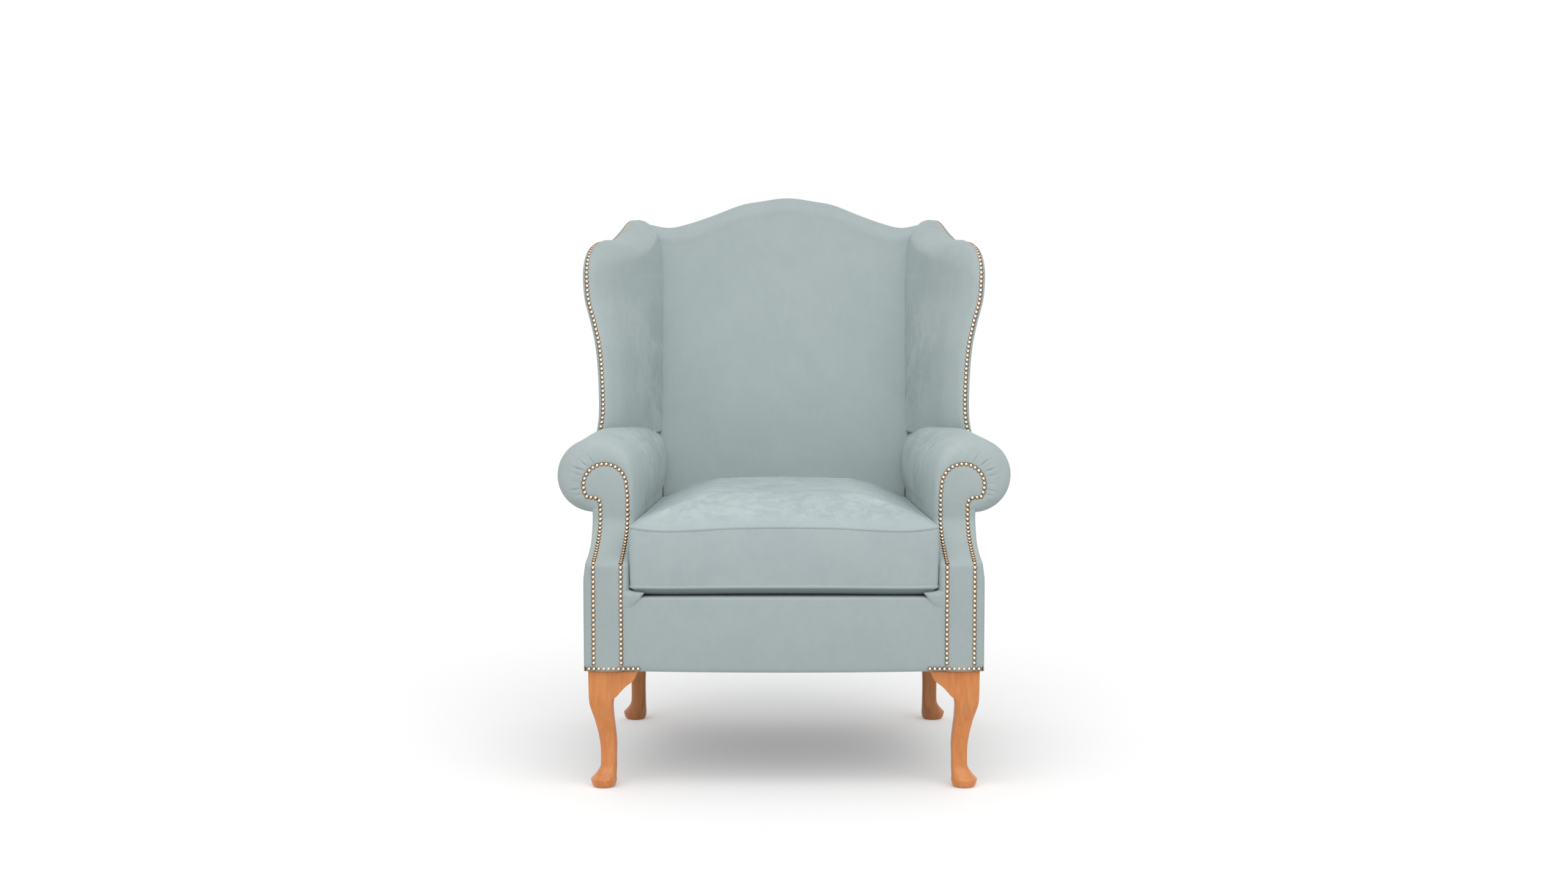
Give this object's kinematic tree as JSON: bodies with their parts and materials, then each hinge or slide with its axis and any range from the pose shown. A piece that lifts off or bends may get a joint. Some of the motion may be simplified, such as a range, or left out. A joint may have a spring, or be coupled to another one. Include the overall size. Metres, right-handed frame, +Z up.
{
  "type": "wingback armchair",
  "caption": "Upholstered wingback armchair with a camel back, scroll arms edged in studs, a loose piped seat cushion and cabriole front legs.",
  "frame": {"origin": "middle of the bounding box at the height of the floor, under the feet", "axes": "+Z up, -Y towards the front of the chair, +X to the right as seen from the front"},
  "size_m": [0.8282, 0.7738, 1.081],
  "materials": {
    "frame_wood": "sawn beech",
    "leg_wood": "satin honey stain",
    "spring_wire": "oiled spring steel",
    "bolt_steel": "plain steel",
    "back_webbing": "woven elastic webbing",
    "upholstery": "duck-egg brushed velvet over foam and wadding",
    "cushion_cover": "duck-egg brushed velvet over foam",
    "cushion_piping": "velvet over cord",
    "studs": "aged, polished on the domes",
    "dust_cloth": "thin black lining cloth"
  },
  "bodies": {
    "chair": {"rail_front": "frame_wood", "rail_back": "frame_wood", "rail_side_left": "frame_wood", "rail_side_right": "frame_wood", "corner_block_front_left": "frame_wood", "corner_block_front_right": "frame_wood", "corner_block_rear_left": "frame_wood", "corner_block_rear_right": "frame_wood", "arm_stump_left": "frame_wood", "arm_stump_right": "frame_wood", "arm_board_left": "frame_wood", "arm_board_right": "frame_wood", "back_post_left": "frame_wood", "back_post_right": "frame_wood", "crest_rail": "frame_wood", "lower_back_rail": "frame_wood", "wing_post_left": "frame_wood", "wing_post_right": "frame_wood", "wing_rail_left": "frame_wood", "wing_rail_right": "frame_wood", "leg_front_left": "leg_wood", "leg_front_right": "leg_wood", "leg_rear_left": "leg_wood", "leg_rear_right": "leg_wood", "seat_spring_1": "spring_wire", "seat_spring_2": "spring_wire", "seat_spring_3": "spring_wire", "seat_spring_4": "spring_wire", "seat_spring_5": "spring_wire", "hanger_bolt_front_left": "bolt_steel", "hanger_bolt_front_right": "bolt_steel", "hanger_bolt_rear_left": "bolt_steel", "hanger_bolt_rear_right": "bolt_steel", "back_web_left": "back_webbing", "back_web_middle": "back_webbing", "back_web_right": "back_webbing", "seat_platform": "upholstery", "inside_back": "upholstery", "arm_pad_left": "upholstery", "arm_pad_right": "upholstery", "wing_pad_left": "upholstery", "wing_pad_right": "upholstery", "front_border": "upholstery", "outside_back": "upholstery", "outside_arm_left": "upholstery", "outside_arm_right": "upholstery", "outside_wing_left": "upholstery", "outside_wing_right": "upholstery", "arm_facing_left": "upholstery", "arm_facing_right": "upholstery", "arm_studs_left": "studs", "arm_studs_right": "studs", "wing_studs_left": "studs", "wing_studs_right": "studs", "foot_studs_left": "studs", "foot_studs_right": "studs", "dust_cover": "dust_cloth"},
    "cushion": {"seat_cushion": "cushion_cover", "cushion_piping_top": "cushion_piping", "cushion_piping_bottom": "cushion_piping"}
  },
  "joints": [
    {"name": "cushion_lift", "type": "slide", "parent": "chair", "child": "cushion", "axis": [0, -0.5, 0.866], "range_m": [0, 0.45]}
  ]
}
